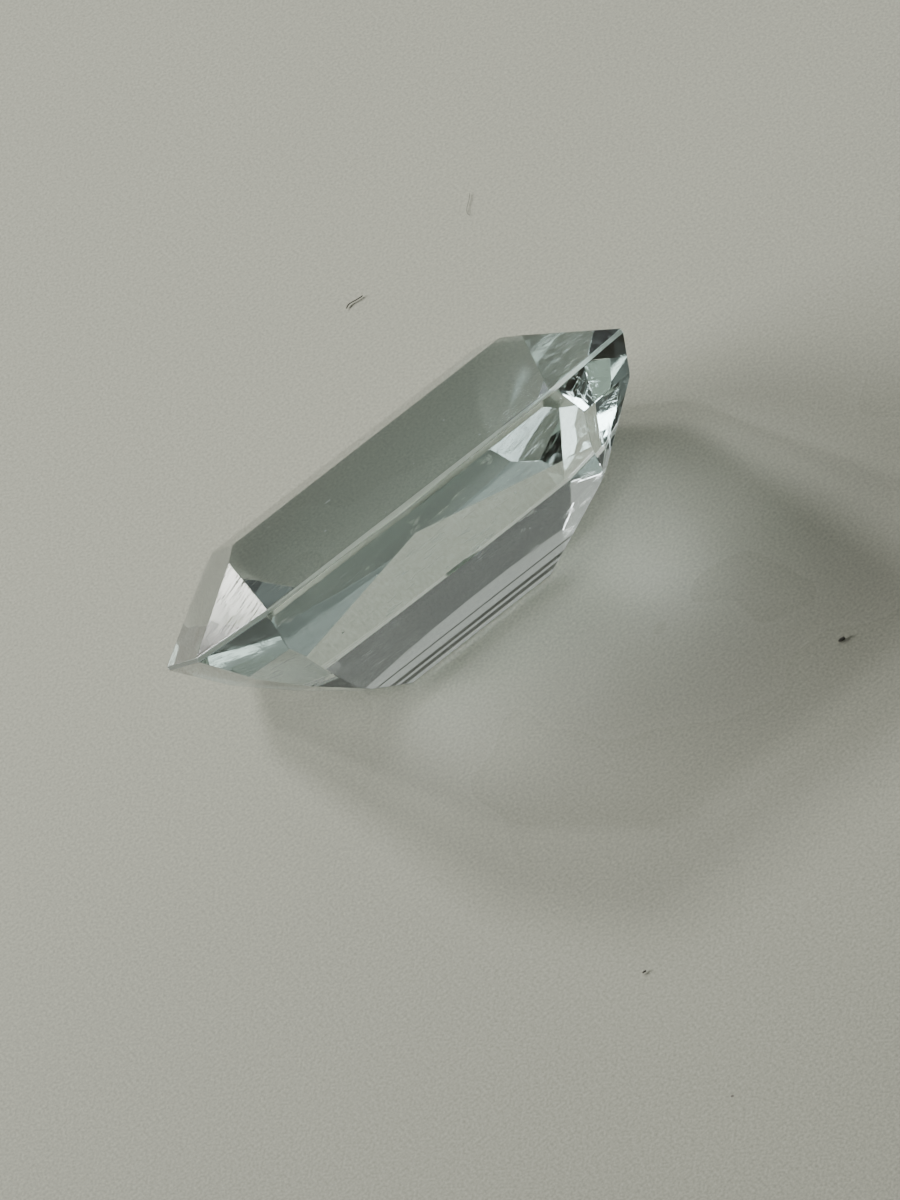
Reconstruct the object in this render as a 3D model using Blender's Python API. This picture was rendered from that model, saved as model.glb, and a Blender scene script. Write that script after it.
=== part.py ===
# A step-cut (emerald-cut) aquamarine: one faceted solid, lying on one of its long underside facets.
#
# The stone is made the way it is cut. A block is ground to the girdle's outline, then the flat
# table, the crown and the tiers of underside facets are ground on, one plane at a time.
# Cutting frame: +X along the stone, +Z out of the table, Z = 0 at the upper edge of the girdle.
# The finished stone is then tipped onto its far lower tier, which ends flat on Z = 0.

import bpy
import bmesh
from math import atan2, cos, radians, sin, tan
from mathutils import Matrix, Vector

MM = 0.001

# Girdle: how far each long side and each end stands from the stone's middle.
GIRDLE_REACH = {"near": 4.71 * MM, "far": 4.56 * MM, "left": 7.55 * MM, "right": 7.45 * MM}
GIRDLE_THICKNESS = 0.14 * MM

# Corners: what each takes off the end (along the stone) and off the side (across it).
CORNER_CUTS = {
    ("near", "left"): (2.02 * MM, 2.16 * MM),
    ("near", "right"): (3.07 * MM, 1.98 * MM),
    ("far", "left"): (2.20 * MM, 2.10 * MM),
    ("far", "right"): (2.80 * MM, 2.00 * MM),
}

# Crown: one broad facet on each side, up to the table.
CROWN_HEIGHT = 1.79 * MM
TABLE_REACH = {"near": 1.69 * MM, "far": 1.69 * MM, "left": 4.70 * MM, "right": 4.80 * MM}
CORNER_TIP_HEIGHT = 1.50 * MM

# Pavilion: for each side, from the girdle down, a tier's angle from level and the depth at which
# the next one takes over. The last tier of each side runs out past the keel.
PAST_KEEL = 4.60 * MM
TIERS = {
    "near": ((42, 1.32 * MM), (38.3, 2.70 * MM), (37, 3.25 * MM), (36, 3.80 * MM), (34, PAST_KEEL)),
    "far": ((55, 1.95 * MM), (45.5, PAST_KEEL)),
    "left": ((52, 1.50 * MM), (43, 2.72 * MM), (38, 3.86 * MM), (28, PAST_KEEL)),
    "right": ((68, 1.25 * MM), (41, 3.08 * MM), (29, PAST_KEEL)),
    "near_left": ((50, 1.32 * MM), (38.5, 2.70 * MM), (36, 3.70 * MM), (32, PAST_KEEL)),
    "near_right": ((56, 1.15 * MM), (44, 2.90 * MM), (33, PAST_KEEL)),
    "far_left": ((52, 1.50 * MM), (46, 2.72 * MM), (41, 3.86 * MM), (33, PAST_KEEL)),
    "far_right": ((52, 1.30 * MM), (45, 3.00 * MM), (44, PAST_KEEL)),
}

# The near side's first tier is two flats, swung apart, that meet in a blunt ridge.
NEAR_SWING = 1.9
NEAR_RIDGE_X = -0.85 * MM
NEAR_RIDGE_DEPTH = 0.20 * MM

# The far side is bowed: its girdle and first tier are a row of flats along a shallow arc.
BOW_SWING = 4.0
BOW_HALF_LENGTH = 5.3 * MM
BOW_MIDDLE_X = 1.0 * MM
BOW_FLATS = 9

# The facet that the stone lies on, and the block that it is cut from.
RESTING_SIDE = "far"
RESTING_TIER = 1
BLOCK_SIZE = 30 * MM

OUTWARD = {
    "near": Vector((0, -1)),
    "far": Vector((0, 1)),
    "left": Vector((-1, 0)),
    "right": Vector((1, 0)),
}


def clear_scene():
    for thing in list(bpy.data.objects):
        bpy.data.objects.remove(thing, do_unlink=True)


def girdle_sides():
    # The eight sides of the outline: the direction each faces, and its distance from the middle.
    sides = {name: (OUTWARD[name], reach) for name, reach in GIRDLE_REACH.items()}
    for (side, end), (along, across) in CORNER_CUTS.items():
        facing = (OUTWARD[side] * along + OUTWARD[end] * across).normalized()
        start = OUTWARD[side] * GIRDLE_REACH[side] + OUTWARD[end] * (GIRDLE_REACH[end] - along)
        sides[side + "_" + end] = (facing, facing.dot(start))
    return sides


def facet_normal(facing, angle):
    # A facet at `angle` from level. It faces up if the angle is positive and down if it is
    # negative; a quarter turn is the upright girdle.
    up = 1 if angle > 0 else -1
    return Vector((facing.x * sin(abs(angle)), facing.y * sin(abs(angle)), up * cos(angle)))


def grind(stone, point, normal):
    # Take away all of the stone outside the plane, and close the cut with one flat facet.
    pieces = stone.verts[:] + stone.edges[:] + stone.faces[:]
    cut = bmesh.ops.bisect_plane(
        stone, geom=pieces, plane_co=point, plane_no=normal, clear_outer=True, dist=1e-8)
    rim = [edge for edge in cut["geom_cut"] if isinstance(edge, bmesh.types.BMEdge)]
    if rim:
        bmesh.ops.contextual_create(stone, geom=rim)


def grind_girdle(stone, sides):
    for facing, reach in sides.values():
        grind(stone, (facing * reach).to_3d(), facing.to_3d())


def grind_crown(stone, sides):
    grind(stone, Vector((0, 0, CROWN_HEIGHT)), Vector((0, 0, 1)))
    for name in OUTWARD:
        facing, reach = sides[name]
        angle = atan2(CROWN_HEIGHT, reach - TABLE_REACH[name])
        grind(stone, (facing * reach).to_3d(), facet_normal(facing, angle))
    for side, end in CORNER_CUTS:
        # A corner's facet is a triangle, whose tip lies on the edge between its two neighbours.
        facing, reach = sides[side + "_" + end]
        rise = CORNER_TIP_HEIGHT / CROWN_HEIGHT
        tip = Vector((0, 0))
        for name in (side, end):
            tip += OUTWARD[name] * (GIRDLE_REACH[name] + (TABLE_REACH[name] - GIRDLE_REACH[name]) * rise)
        angle = atan2(CORNER_TIP_HEIGHT, reach - facing.dot(tip))
        grind(stone, (facing * reach).to_3d(), facet_normal(facing, angle))


def tier_planes(name, facing, reach):
    # Each tier starts where the one above it reaches its depth, so the tiers' edges meet.
    depth = GIRDLE_THICKNESS
    for degrees, end_depth in TIERS[name]:
        angle = radians(degrees)
        yield (facing * reach).to_3d() + Vector((0, 0, -depth)), angle
        reach -= (end_depth - depth) / tan(angle)
        depth = end_depth


def grind_ridged_tier(stone, point, angle):
    ridge = Vector((NEAR_RIDGE_X, point.y, -NEAR_RIDGE_DEPTH))
    for swing in (-radians(NEAR_SWING), radians(NEAR_SWING)):
        grind(stone, ridge, facet_normal(Vector((sin(swing), -cos(swing))), -angle))


def grind_bowed_tier(stone, point, angle):
    radius = BOW_HALF_LENGTH / sin(radians(BOW_SWING))
    for flat in range(BOW_FLATS):
        swing = radians(BOW_SWING) * (2 * flat / (BOW_FLATS - 1) - 1)
        facing = Vector((sin(swing), cos(swing)))
        touch = Vector((BOW_MIDDLE_X, point.y - radius, point.z)) + (facing * radius).to_3d()
        grind(stone, touch, facet_normal(facing, -angle))
        grind(stone, touch, facing.to_3d())


def grind_pavilion(stone, sides):
    for name, (facing, reach) in sides.items():
        for tier, (point, angle) in enumerate(tier_planes(name, facing, reach)):
            if tier == 0 and name == "near":
                grind_ridged_tier(stone, point, angle)
            elif tier == 0 and name == "far":
                grind_bowed_tier(stone, point, angle)
            else:
                grind(stone, point, facet_normal(facing, -angle))


def cut_stone():
    stone = bmesh.new()
    bmesh.ops.create_cube(stone, size=BLOCK_SIZE)
    sides = girdle_sides()
    grind_girdle(stone, sides)
    grind_crown(stone, sides)
    grind_pavilion(stone, sides)
    return stone


def lay_down(stone):
    # Tip the stone about its long axis onto the resting facet, then put the middle of its
    # footprint at the origin and the facet on Z = 0.
    tip = radians(TIERS[RESTING_SIDE][RESTING_TIER][0])
    bmesh.ops.rotate(stone, verts=stone.verts, cent=(0, 0, 0), matrix=Matrix.Rotation(-tip, 3, "X"))
    low = [min(vert.co[axis] for vert in stone.verts) for axis in range(3)]
    high = [max(vert.co[axis] for vert in stone.verts) for axis in range(3)]
    middle = Vector(((low[0] + high[0]) / 2, (low[1] + high[1]) / 2, low[2]))
    bmesh.ops.translate(stone, verts=stone.verts, vec=-middle)


def beryl_material():
    material = bpy.data.materials.new("clear aquamarine")
    material.use_nodes = True
    shader = material.node_tree.nodes["Principled BSDF"]
    shader.inputs["Base Color"].default_value = (0.90, 0.97, 0.96, 1)
    shader.inputs["Roughness"].default_value = 0.0
    shader.inputs["Metallic"].default_value = 0.0
    shader.inputs["IOR"].default_value = 1.577
    shader.inputs["Transmission Weight"].default_value = 1.0
    return material


def build():
    clear_scene()
    stone = cut_stone()
    lay_down(stone)
    bmesh.ops.recalc_face_normals(stone, faces=stone.faces)
    mesh = bpy.data.meshes.new("aquamarine")
    stone.to_mesh(mesh)
    stone.free()
    mesh.materials.append(beryl_material())
    gem = bpy.data.objects.new("aquamarine", mesh)
    collection = bpy.data.collections.new("aquamarine")
    bpy.context.scene.collection.children.link(collection)
    collection.objects.link(gem)


build()
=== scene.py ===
from math import atan2, cos, radians, sin, tan

import bpy
from mathutils import Matrix, Vector


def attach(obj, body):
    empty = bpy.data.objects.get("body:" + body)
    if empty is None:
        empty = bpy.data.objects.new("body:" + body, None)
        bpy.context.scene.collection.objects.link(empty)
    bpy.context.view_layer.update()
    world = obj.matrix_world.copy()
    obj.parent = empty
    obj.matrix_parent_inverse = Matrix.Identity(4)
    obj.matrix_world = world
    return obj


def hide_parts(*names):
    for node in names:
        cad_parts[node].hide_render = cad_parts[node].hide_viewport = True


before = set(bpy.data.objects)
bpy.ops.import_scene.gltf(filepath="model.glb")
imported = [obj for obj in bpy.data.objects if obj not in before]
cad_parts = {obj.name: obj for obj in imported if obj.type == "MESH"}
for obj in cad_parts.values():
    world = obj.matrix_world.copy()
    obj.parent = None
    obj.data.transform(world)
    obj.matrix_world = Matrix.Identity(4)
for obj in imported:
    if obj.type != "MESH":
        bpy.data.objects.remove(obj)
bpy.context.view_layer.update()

mm = 0.001

# Directions are given as an azimuth and an elevation in degrees: azimuth 0 is behind the stone,
# and positive turns to its right.


def deselectAll():
    bpy.ops.object.select_all(action="DESELECT")


def direction(azimuth, elevation):
    turn, rise = radians(azimuth), radians(elevation)
    return Vector((sin(turn) * cos(rise), cos(turn) * cos(rise), sin(rise)))


def addNode(tree, kind, at, **settings):
    node = tree.nodes.new(kind)
    node.location = at
    for name, value in settings.items():
        setattr(node, name, value)
    return node


# The cut stone, in millimetres and degrees, with the table up and the girdle's upper edge at
# height 0.
stoneShape = {
    "block": 30,
    "girdleReach": {"near": 4.71, "far": 4.56, "left": 7.55, "right": 7.45},
    "girdleThickness": 0.14,
    "cornerCuts": {  # what a corner takes off the end, and off the side
        ("near", "left"): (2.02, 2.16),
        ("near", "right"): (3.07, 1.98),
        ("far", "left"): (2.20, 2.10),
        ("far", "right"): (2.80, 2.00),
    },
    "crownHeight": 1.79,
    "tableReach": {"near": 1.69, "far": 1.69, "left": 4.70, "right": 4.80},
    "cornerTipHeight": 1.50,
    "tiers": {  # from the girdle down: the angle from level, and the depth that the tier ends at
        "near": ((42, 1.32), (38.3, 2.70), (37, 3.25), (36, 3.80), (34, 4.60)),
        "far": ((55, 1.95), (45.5, 4.60)),
        "left": ((52, 1.50), (43, 2.72), (38, 3.86), (28, 4.60)),
        "right": ((68, 1.25), (41, 3.08), (29, 4.60)),
        "near_left": ((50, 1.32), (38.5, 2.70), (36, 3.70), (32, 4.60)),
        "near_right": ((56, 1.15), (44, 2.90), (33, 4.60)),
        "far_left": ((52, 1.50), (46, 2.72), (41, 3.86), (33, 4.60)),
        "far_right": ((52, 1.30), (45, 3.00), (44, 4.60)),
    },
    "nearRidge": {"swing": 1.9, "x": -0.85, "depth": 0.20},
    "farBow": {"swing": 4.0, "halfLength": 5.3, "x": 1.0, "flats": 9},
    "restingAngle": 45.5,
    "edgeWidth": 0.012,
    "edgeFrom": 1,  # degrees between two facets from which their edge is softened
}
outward = {
    "near": Vector((0, -1)),
    "far": Vector((0, 1)),
    "left": Vector((-1, 0)),
    "right": Vector((1, 0)),
}


def grind(point, normal):
    # One flat ground onto the stone that is open in edit mode; the point is in millimetres.
    bpy.ops.mesh.select_all(action="SELECT")
    bpy.ops.mesh.bisect(
        plane_co=[mm * c for c in point], plane_no=normal, use_fill=True, clear_outer=True,
        threshold=1e-7)


def facetNormal(facing, angle):
    # The angle is from level, positive for a facet that faces up.
    up = 1 if angle > 0 else -1
    return (facing.x * sin(abs(angle)), facing.y * sin(abs(angle)), up * cos(angle))


def girdleSides():
    reaches = stoneShape["girdleReach"]
    sides = {name: (outward[name], reach) for name, reach in reaches.items()}
    for (side, end), (along, across) in stoneShape["cornerCuts"].items():
        facing = (outward[side] * along + outward[end] * across).normalized()
        start = outward[side] * reaches[side] + outward[end] * (reaches[end] - along)
        sides[side + "_" + end] = (facing, facing.dot(start))
    return sides


def grindCrown(sides):
    height = stoneShape["crownHeight"]
    girdle, table = stoneShape["girdleReach"], stoneShape["tableReach"]
    grind((0, 0, height), (0, 0, 1))
    for name in outward:
        facing, reach = sides[name]
        grind((facing * reach).to_3d(), facetNormal(facing, atan2(height, reach - table[name])))
    tipHeight = stoneShape["cornerTipHeight"]
    for corner in stoneShape["cornerCuts"]:
        facing, reach = sides["_".join(corner)]
        tip = Vector((0, 0))
        for name in corner:
            slant = (table[name] - girdle[name]) * tipHeight / height
            tip += outward[name] * (girdle[name] + slant)
        angle = atan2(tipHeight, reach - facing.dot(tip))
        grind((facing * reach).to_3d(), facetNormal(facing, angle))


def grindRidgedTier(point, angle):
    # Two flats swung apart, which meet in a blunt ridge.
    ridge = stoneShape["nearRidge"]
    top = (ridge["x"], point[1], -ridge["depth"])
    for swing in (-radians(ridge["swing"]), radians(ridge["swing"])):
        grind(top, facetNormal(Vector((sin(swing), -cos(swing))), -angle))


def grindBowedTier(point, angle):
    # The girdle and the first tier as a row of flats along a shallow arc.
    bow = stoneShape["farBow"]
    radius = bow["halfLength"] / sin(radians(bow["swing"]))
    for flat in range(bow["flats"]):
        swing = radians(bow["swing"]) * (2 * flat / (bow["flats"] - 1) - 1)
        facing = Vector((sin(swing), cos(swing)))
        touch = Vector((bow["x"], point[1] - radius, point[2])) + (facing * radius).to_3d()
        grind(touch, facetNormal(facing, -angle))
        grind(touch, facing.to_3d())


def grindPavilion(sides):
    for name, (facing, reach) in sides.items():
        depth = stoneShape["girdleThickness"]
        for tier, (angle, endDepth) in enumerate(stoneShape["tiers"][name]):
            angle = radians(angle)
            point = (facing.x * reach, facing.y * reach, -depth)
            if tier == 0 and name == "near":
                grindRidgedTier(point, angle)
            elif tier == 0 and name == "far":
                grindBowedTier(point, angle)
            else:
                grind(point, facetNormal(facing, -angle))
            reach -= (endDepth - depth) / tan(angle)
            depth = endDepth


def tableDirection():
    tip = radians(stoneShape["restingAngle"])
    return Vector((0, sin(tip), cos(tip)))


def makeStone():
    # Gives the stone, and how far its girdle's upper edge lies along the table's direction.
    deselectAll()
    bpy.ops.mesh.primitive_cube_add(size=stoneShape["block"] * mm)
    gem = bpy.context.object
    gem.name = "cut_stone"
    bpy.ops.object.mode_set(mode="EDIT")
    sides = girdleSides()
    for facing, reach in sides.values():
        grind((facing * reach).to_3d(), facing.to_3d())
    grindCrown(sides)
    grindPavilion(sides)
    bpy.ops.mesh.select_all(action="SELECT")
    bpy.ops.mesh.normals_make_consistent(inside=False)
    bpy.ops.object.mode_set(mode="OBJECT")
    # Lay it on the far lower tier, with its footprint's middle at the origin.
    gem.rotation_euler = (-radians(stoneShape["restingAngle"]), 0, 0)
    bpy.ops.object.transform_apply(location=True, rotation=True, scale=True)
    places = [v.co for v in gem.data.vertices]
    low = [min(p[axis] for p in places) for axis in range(3)]
    high = [max(p[axis] for p in places) for axis in range(3)]
    shift = Vector((-(low[0] + high[0]) / 2, -(low[1] + high[1]) / 2, -low[2]))
    gem.location = shift
    bpy.ops.object.transform_apply(location=True, rotation=True, scale=True)
    softened = gem.modifiers.new("polished edges", "BEVEL")
    softened.width = stoneShape["edgeWidth"] * mm
    softened.segments = 1
    softened.limit_method = "ANGLE"
    softened.angle_limit = radians(stoneShape["edgeFrom"])
    bpy.ops.object.modifier_apply(modifier=softened.name)
    return gem, shift.dot(tableDirection())


berylLook = {
    "bodyColour": (1.0, 1.0, 1.0, 1),
    "ior": 1.577,
    "absorbColour": (0.30, 0.80, 0.76, 1),
    "absorbDensity": 25.0,
    # each noise: scale, detail, and where its mask begins and is full
    "lines": (1500, 4, 0.56, 0.68),
    "lineTurn": (0.4, 0.2, radians(38)),
    "lineStretch": (1, 14, 1),
    "linePatches": (330, 2, 0.42, 0.62),
    "smearPatches": (900, 3, 0.52, 0.75),
    "scratches": 0.24,      # roughness in the finest polishing lines
    "smears": 0.06,         # roughness where the polish is dull
    "ripple": 0.0008,       # mm, height of the polishing lines
    "dustScale": 2600,
    "dustShare": 0.10,      # share of the dust cells that hold a grain
    "dustSize": 0.10,       # part of a dust cell that a grain fills
    "dustColour": (0.62, 0.62, 0.58, 1),
    "dustRoughness": 0.6,
    "groundGirdle": 0.38,   # roughness of the unpolished girdle
    "groundShare": 0.9,     # part of the girdle's thickness that is left unpolished
    "keelReflectionLines": {          # painted dark reflection lines; mm: depth below the girdle, and half of the width
        "first": (3.90, 0.018),
        "second": (4.15, 0.045),
        "third": (4.31, 0.05),
    },
    "keelFacing": -0.9,     # a facet has the painted reflection lines where its normal's Y is under this
    # the colour of the painted dark reflection lines
    "keelReflectionColour": (0.05, 0.05, 0.045, 1),
}


def newGroup(name, sockets):
    # A node group; each socket is (name, "INPUT" or "OUTPUT", kind).
    tree = bpy.data.node_groups.new(name, "ShaderNodeTree")
    for label, side, kind in sockets:
        tree.interface.new_socket(name=label, in_out=side, socket_type="NodeSocket" + kind)
    given = addNode(tree, "NodeGroupInput", (-1200, 0))
    return tree, given, addNode(tree, "NodeGroupOutput", (600, 0))


def mathNode(tree, at, operation, first, second):
    node = addNode(tree, "ShaderNodeMath", at, operation=operation)
    for socket, value in zip(node.inputs, (first, second)):
        if isinstance(value, (int, float)):
            socket.default_value = value
        else:
            tree.links.new(value, socket)
    return node.outputs["Value"]


def threshold(tree, at, value, low, high):
    node = addNode(tree, "ShaderNodeMapRange", at, interpolation_type="SMOOTHSTEP")
    node.inputs["From Min"].default_value = low
    node.inputs["From Max"].default_value = high
    tree.links.new(value, node.inputs["Value"])
    return node.outputs["Result"]


def noise(tree, at, vector, scale, detail):
    node = addNode(tree, "ShaderNodeTexNoise", at)
    node.inputs["Scale"].default_value = scale
    node.inputs["Detail"].default_value = detail
    tree.links.new(vector, node.inputs["Vector"])
    return node.outputs[0]


def patches(tree, at, vector, look):
    # Noise made into a mask; the look is its scale, its detail, and where it begins and is full.
    scale, detail, low, high = look
    return threshold(tree, (at[0] + 250, at[1]), noise(tree, at, vector, scale, detail), low, high)


def grains(tree, at, vector, scale, share, size):
    # Scattered round grains: 1 inside a grain, 0 outside.
    cells = addNode(tree, "ShaderNodeTexVoronoi", at)
    cells.inputs["Scale"].default_value = scale
    tree.links.new(vector, cells.inputs["Vector"])
    parts = addNode(tree, "ShaderNodeSeparateColor", (at[0] + 200, at[1] - 100))
    tree.links.new(cells.outputs["Color"], parts.inputs["Color"])
    chosen = mathNode(tree, (at[0] + 400, at[1] - 100), "LESS_THAN", parts.outputs["Red"], share)
    width = mathNode(tree, (at[0] + 400, at[1] - 250), "MULTIPLY", parts.outputs["Green"], size)
    inside = mathNode(tree, (at[0] + 400, at[1]), "LESS_THAN", cells.outputs["Distance"], width)
    return mathNode(tree, (at[0] + 600, at[1]), "MULTIPLY", chosen, inside)


def polishGroup():
    # Polishing lines that run across the stone in worn patches, dull smears and grains of dust.
    sockets = [("Vector", "INPUT", "Vector"), ("Lines", "OUTPUT", "Float"),
               ("Smears", "OUTPUT", "Float"), ("Dust", "OUTPUT", "Float")]
    tree, given, out = newGroup("polish and dust", sockets)
    vector = given.outputs["Vector"]
    stretched = addNode(tree, "ShaderNodeMapping", (-1000, 200))
    stretched.inputs["Rotation"].default_value = berylLook["lineTurn"]
    stretched.inputs["Scale"].default_value = berylLook["lineStretch"]
    tree.links.new(vector, stretched.inputs["Vector"])
    lines = patches(tree, (-750, 200), stretched.outputs["Vector"], berylLook["lines"])
    worn = patches(tree, (-750, 0), vector, berylLook["linePatches"])
    tree.links.new(mathNode(tree, (-250, 150), "MULTIPLY", lines, worn), out.inputs["Lines"])
    smears = patches(tree, (-750, -200), vector, berylLook["smearPatches"])
    tree.links.new(smears, out.inputs["Smears"])
    dust = grains(tree, (-750, -450), vector,
                  berylLook["dustScale"], berylLook["dustShare"], berylLook["dustSize"])
    tree.links.new(dust, out.inputs["Dust"])
    return tree


def tableHeight(tree, place):
    # How far a point lies along the table's direction.
    height = addNode(tree, "ShaderNodeVectorMath", (-1100, -500), operation="DOT_PRODUCT")
    height.inputs[1].default_value = tableDirection()
    tree.links.new(place, height.inputs[0])
    return height.outputs["Value"]


def band(tree, at, height, middle, half):
    node = addNode(tree, "ShaderNodeMath", at, operation="COMPARE")
    tree.links.new(height, node.inputs[0])
    node.inputs[1].default_value = middle
    node.inputs[2].default_value = half
    return node.outputs["Value"]


def keelReflectionLines(tree, height, normal, girdleLevel):
    # Painted reflections: thin dark lines along the lowest near facets, in place of the
    # reflections that facets too narrow to cut here would show.
    total = 0.0
    for row, (depth, half) in enumerate(berylLook["keelReflectionLines"].values()):
        line = band(tree, (-900, -700 - 150 * row), height, girdleLevel - depth * mm, half * mm)
        total = mathNode(tree, (-700, -700 - 150 * row), "MAXIMUM", line, total)
    parts = addNode(tree, "ShaderNodeSeparateXYZ", (-900, -1200))
    tree.links.new(normal, parts.inputs["Vector"])
    near = mathNode(tree, (-700, -1200), "LESS_THAN", parts.outputs["Y"],
                    berylLook["keelFacing"])
    return mathNode(tree, (-500, -900), "MULTIPLY", total, near)


def berylMaterial(girdleLevel):
    material = bpy.data.materials.new("clear beryl")
    material.use_nodes = True
    tree = material.node_tree
    shader = tree.nodes["Principled BSDF"]
    shader.inputs["IOR"].default_value = berylLook["ior"]
    shader.inputs["Transmission Weight"].default_value = 1.0
    coordinates = addNode(tree, "ShaderNodeTexCoord", (-1400, 0))
    place, normal = coordinates.outputs["Object"], coordinates.outputs["Normal"]
    height = tableHeight(tree, place)
    polish = addNode(tree, "ShaderNodeGroup", (-900, 0), node_tree=polishGroup())
    tree.links.new(place, polish.inputs["Vector"])
    lines, dust = polish.outputs["Lines"], polish.outputs["Dust"]
    rough = mathNode(tree, (-650, 100), "MULTIPLY", lines, berylLook["scratches"])
    dull = mathNode(tree, (-650, -50), "MULTIPLY", polish.outputs["Smears"], berylLook["smears"])
    rough = mathNode(tree, (-450, 50), "ADD", rough, dull)
    dusty = mathNode(tree, (-650, -200), "MULTIPLY", dust, berylLook["dustRoughness"])
    rough = mathNode(tree, (-450, -100), "MAXIMUM", rough, dusty)
    half = stoneShape["girdleThickness"] * mm / 2
    girdle = band(tree, (-700, -500), height, girdleLevel - half, half * berylLook["groundShare"])
    ground = mathNode(tree, (-500, -500), "MULTIPLY", girdle, berylLook["groundGirdle"])
    tree.links.new(mathNode(tree, (-250, 0), "MAXIMUM", rough, ground), shader.inputs["Roughness"])
    colour = addNode(tree, "ShaderNodeMix", (-250, 300), data_type="RGBA")
    colour.inputs["A"].default_value = berylLook["bodyColour"]
    colour.inputs["B"].default_value = berylLook["dustColour"]
    tree.links.new(dust, colour.inputs["Factor"])
    # painted reflections: dark lines mixed into the base colour along the keel
    reflectionLined = addNode(tree, "ShaderNodeMix", (-50, 300), data_type="RGBA")
    reflectionLined.inputs["B"].default_value = berylLook["keelReflectionColour"]
    tree.links.new(keelReflectionLines(tree, height, normal, girdleLevel), reflectionLined.inputs["Factor"])
    tree.links.new(colour.outputs["Result"], reflectionLined.inputs["A"])
    tree.links.new(reflectionLined.outputs["Result"], shader.inputs["Base Color"])
    bump = addNode(tree, "ShaderNodeBump", (-250, -250))
    bump.inputs["Distance"].default_value = berylLook["ripple"] * mm
    tree.links.new(lines, bump.inputs["Height"])
    tree.links.new(bump.outputs["Normal"], shader.inputs["Normal"])
    inside = addNode(tree, "ShaderNodeVolumeAbsorption", (-100, -400))
    inside.inputs["Color"].default_value = berylLook["absorbColour"]
    inside.inputs["Density"].default_value = berylLook["absorbDensity"]
    tree.links.new(inside.outputs["Volume"], tree.nodes["Material Output"].inputs["Volume"])
    return material


floorLook = {
    "size": 1.2,
    "gap": 0.03,  # mm of air under the stone, so that its facet and the floor stay two surfaces
    "colour": (0.575, 0.58, 0.475, 1),
    # the colour of the painted shade towards the front, and the dark end of the grain
    "shade": (0.45, 0.455, 0.37, 1),
    "shadeFrom": (6.0, -24.0),   # mm towards the back and the front, where the tone changes into the painted shade
    "grainNoise": (12000, 3),    # scale and detail
    "blotchNoise": (130, 2),
    "grain": 3.36,               # how strongly the noises change the tone
    "blotchShare": 0.12,
    "specks": (420, 0.10, 0.05),  # scale, share of the cells that hold one, largest part it fills
    "speckColour": (0.22, 0.21, 0.18, 1),
    "roughness": 0.28,
    "roughnessChange": 0.3,
    "specular": 0.45,
    "grainHeight": 0.004,  # mm
}


def sheetGroup():
    # Fine grain, a slow change of tone, painted shade that darkens the floor towards the front,
    # and a few specks of dirt.
    sockets = [("Vector", "INPUT", "Vector"), ("Colour", "OUTPUT", "Color"),
               ("Height", "OUTPUT", "Float"), ("Roughness", "OUTPUT", "Float")]
    tree, given, out = newGroup("sheet grain and painted shade", sockets)
    vector = given.outputs["Vector"]
    parts = addNode(tree, "ShaderNodeSeparateXYZ", (-1000, 300))
    tree.links.new(vector, parts.inputs["Vector"])
    # painted shade: the floor darkens from the back towards the front
    back, front = floorLook["shadeFrom"]
    paintedShadeSlope = addNode(tree, "ShaderNodeMapRange", (-800, 300))
    paintedShadeSlope.inputs["From Min"].default_value = back * mm
    paintedShadeSlope.inputs["From Max"].default_value = front * mm
    tree.links.new(parts.outputs["Y"], paintedShadeSlope.inputs["Value"])
    grain = noise(tree, (-800, 0), vector, *floorLook["grainNoise"])
    blotch = noise(tree, (-800, -200), vector, *floorLook["blotchNoise"])
    fine = mathNode(tree, (-600, 0), "SUBTRACT", grain, 0.5)
    broad = mathNode(tree, (-600, -200), "SUBTRACT", blotch, 0.5)
    slow = mathNode(tree, (-450, -200), "MULTIPLY", broad, floorLook["blotchShare"])
    uneven = mathNode(tree, (-300, -100), "ADD", fine, slow)
    uneven = mathNode(tree, (-150, -100), "MULTIPLY", uneven, floorLook["grain"])
    share = mathNode(tree, (-150, 100), "ADD", paintedShadeSlope.outputs["Result"], uneven)
    grainAndPaintedShade = addNode(tree, "ShaderNodeMix", (50, 200), data_type="RGBA")
    grainAndPaintedShade.clamp_factor = False
    grainAndPaintedShade.inputs["A"].default_value = floorLook["colour"]
    grainAndPaintedShade.inputs["B"].default_value = floorLook["shade"]
    tree.links.new(share, grainAndPaintedShade.inputs["Factor"])
    specks = grains(tree, (-800, -500), vector, *floorLook["specks"])
    colour = addNode(tree, "ShaderNodeMix", (250, 100), data_type="RGBA")
    colour.inputs["B"].default_value = floorLook["speckColour"]
    tree.links.new(specks, colour.inputs["Factor"])
    tree.links.new(grainAndPaintedShade.outputs["Result"], colour.inputs["A"])
    tree.links.new(colour.outputs["Result"], out.inputs["Colour"])
    tree.links.new(grain, out.inputs["Height"])
    satin = mathNode(tree, (50, -200), "MULTIPLY", broad, floorLook["roughnessChange"])
    satin = mathNode(tree, (250, -200), "ADD", satin, floorLook["roughness"])
    tree.links.new(satin, out.inputs["Roughness"])
    return tree


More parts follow.
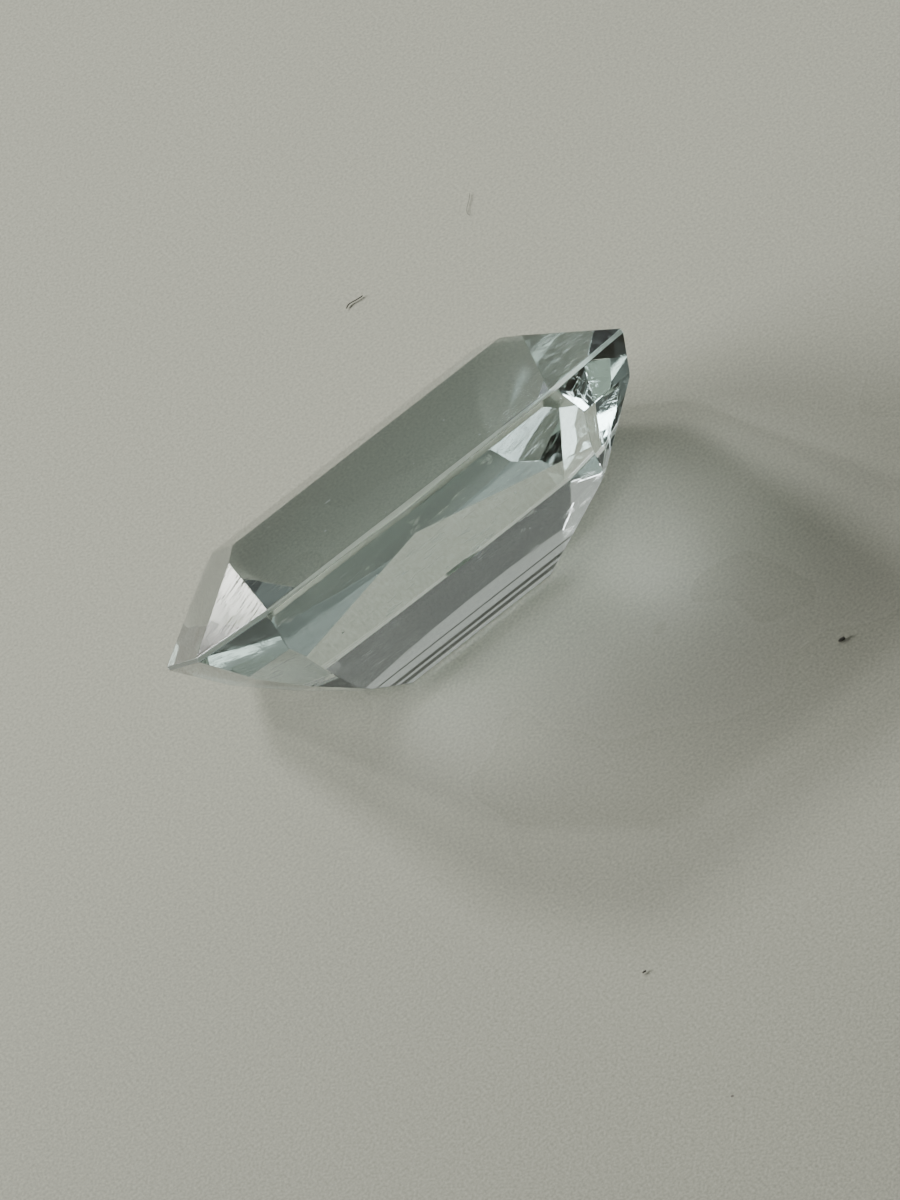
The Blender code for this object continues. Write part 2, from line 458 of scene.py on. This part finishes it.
def makeFloor():
    deselectAll()
    bpy.ops.mesh.primitive_plane_add(
        size=floorLook["size"], location=(0, 0, -floorLook["gap"] * mm))
    floor = bpy.context.object
    floor.name = "pale_floor"
    material = bpy.data.materials.new("pale satin sheet")
    material.use_nodes = True
    tree = material.node_tree
    shader = tree.nodes["Principled BSDF"]
    place = addNode(tree, "ShaderNodeTexCoord", (-900, 0)).outputs["Object"]
    sheet = addNode(tree, "ShaderNodeGroup", (-600, 0), node_tree=sheetGroup())
    tree.links.new(place, sheet.inputs["Vector"])
    tree.links.new(sheet.outputs["Colour"], shader.inputs["Base Color"])
    tree.links.new(sheet.outputs["Roughness"], shader.inputs["Roughness"])
    bump = addNode(tree, "ShaderNodeBump", (-300, -200))
    bump.inputs["Distance"].default_value = floorLook["grainHeight"] * mm
    tree.links.new(sheet.outputs["Height"], bump.inputs["Height"])
    tree.links.new(bump.outputs["Normal"], shader.inputs["Normal"])
    shader.inputs["Specular IOR Level"].default_value = floorLook["specular"]
    floor.data.materials.append(material)


lintLook = {
    "colour": (0.11, 0.105, 0.09, 1),
    "roughness": 0.9,
    # each: middle across and back in mm, turn in degrees, length and thickness in mm
    "threads": {
        "short thread": (4.46, 10.14, 1, 0.60, 0.035),
        "long thread": (8.96, 10.42, 54, 0.85, 0.012),
        "crumb": (6.69, -10.79, 0, 0.16, 0.10),
        "small crumb": (-3.90, -15.50, 0, 0.10, 0.05),
    },
}


def makeLint():
    material = bpy.data.materials.new("grey lint")
    material.use_nodes = True
    shader = material.node_tree.nodes["Principled BSDF"]
    shader.inputs["Base Color"].default_value = lintLook["colour"]
    shader.inputs["Roughness"].default_value = lintLook["roughness"]
    for name, (across, back, turn, length, thickness) in lintLook["threads"].items():
        deselectAll()
        bpy.ops.curve.primitive_bezier_curve_add(
            radius=length * mm / 2, location=(across * mm, back * mm, thickness * mm / 2),
            rotation=(0, 0, radians(turn)))
        thread = bpy.context.object
        thread.name = name.replace(" ", "_")
        thread.data.bevel_depth = thickness * mm / 2
        thread.data.use_fill_caps = True
        bpy.ops.object.convert(target="MESH")
        thread = bpy.context.object
        thread.data.materials.append(material)


lamps = {
    # each: azimuth, elevation, distance, width and height in metres, watts
    "window": (-14, 31, 0.60, 0.10, 0.06, 1.7),
    "side window": (-58, 22, 0.60, 0.40, 0.12, 4.5),
    "pane": (-30, 35, 0.60, 0.03, 0.03, 0.6),
}


def makeLamp(name, azimuth, elevation, distance, width, height, watts):
    place = direction(azimuth, elevation) * distance
    light = bpy.data.lights.new(name, "AREA")
    light.shape = "RECTANGLE"
    light.size, light.size_y = width, height
    light.energy = watts
    lamp = bpy.data.objects.new(name, light)
    bpy.context.scene.collection.objects.link(lamp)
    lamp.location = place
    lamp.rotation_euler = (-place).to_track_quat("-Z", "Y").to_euler()


# The room: soft glows on a dim surround.
roomLook = {
    "surround": (0.056, 0.058, 0.056),
    "glowColour": (0.99, 1.0, 0.92),
    "glows": {  # each: azimuth, elevation, reach in degrees, strength
        "window wall": (-12, 22, 48, 0.46),
        "side wall": (62, 8, 36, 0.42),
        "low pane": (-16.0, 8.6, 1.8, 38.0),
        "ceiling edge": (28, 65, 16, 0.10),
        "ceiling": (-15, 78, 13, 0.12),
        "front room": (131, 28, 14, 0.12),
        "camera side": (-159, 39, 14, 0.14),
        "left sparkle": (56, 34, 4, 1.6),
        "right sparkle": (44, 61.5, 4, 2.5),
        "girdle sparkle": (-46, 6, 4, 4.0),
        "end bar": (150, 53, 4, 3.0),
    },
}


def makeWorld():
    world = bpy.data.worlds.new("soft room")
    bpy.context.scene.world = world
    world.use_nodes = True
    tree = world.node_tree
    background = tree.nodes["Background"]
    looking = addNode(tree, "ShaderNodeTexCoord", (-1400, 0))
    light = addNode(tree, "ShaderNodeCombineColor", (-400, 300))
    for channel, value in zip(("Red", "Green", "Blue"), roomLook["surround"]):
        light.inputs[channel].default_value = value
    total = light.outputs["Color"]
    for row, (azimuth, elevation, reach, strength) in enumerate(roomLook["glows"].values()):
        down = -300 * row
        towards = addNode(tree, "ShaderNodeVectorMath", (-1200, down), operation="DOT_PRODUCT")
        towards.inputs[1].default_value = direction(azimuth, elevation)
        tree.links.new(looking.outputs["Generated"], towards.inputs[0])
        fade = addNode(tree, "ShaderNodeMapRange", (-1000, down), interpolation_type="SMOOTHSTEP")
        fade.inputs["From Min"].default_value = cos(radians(reach))
        fade.inputs["To Max"].default_value = strength
        tree.links.new(towards.outputs["Value"], fade.inputs["Value"])
        glow = addNode(tree, "ShaderNodeMix", (-800, down), data_type="RGBA", blend_type="ADD")
        glow.clamp_factor = False
        glow.inputs["B"].default_value = (*roomLook["glowColour"], 1)
        tree.links.new(fade.outputs["Result"], glow.inputs["Factor"])
        tree.links.new(total, glow.inputs["A"])
        total = glow.outputs["Result"]
    tree.links.new(total, background.inputs["Color"])


cameraView = {
    "azimuth": 16.156,  # where it looks to
    "elevation": -48.662,
    "roll": -25.771,
    "distance": 0.25,
    "aim": (-0.448, -2.272, 1.569),  # mm
    "lens": 270,
    "sensor": 36,
    "nearest": 0.01,
}


def makeCamera():
    looking = direction(cameraView["azimuth"], cameraView["elevation"])
    lens = bpy.data.cameras.new("camera")
    lens.lens = cameraView["lens"]
    lens.sensor_width = cameraView["sensor"]
    lens.sensor_fit = "AUTO"
    lens.clip_start = cameraView["nearest"]
    camera = bpy.data.objects.new("camera", lens)
    bpy.context.scene.collection.objects.link(camera)
    level = Vector((looking.y, -looking.x, 0)).normalized()
    up = level.cross(looking)
    roll = radians(cameraView["roll"])
    right = level * cos(roll) + up * sin(roll)
    upright = up * cos(roll) - level * sin(roll)
    turned = Matrix((right, upright, -looking)).transposed()
    place = Vector(cameraView["aim"]) * mm - looking * cameraView["distance"]
    camera.matrix_world = Matrix.Translation(place) @ turned.to_4x4()
    bpy.context.scene.camera = camera


makeCamera()
makeWorld()
for name, settings in lamps.items():
    makeLamp(name, *settings)
makeFloor()
makeLint()
print("camera, lights and floor are in place")

gem, girdleLevel = makeStone()
gem.data.materials.append(berylMaterial(girdleLevel))
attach(gem, "root")
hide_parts("aquamarine")
print("stone cut:", len(gem.data.polygons), "faces")
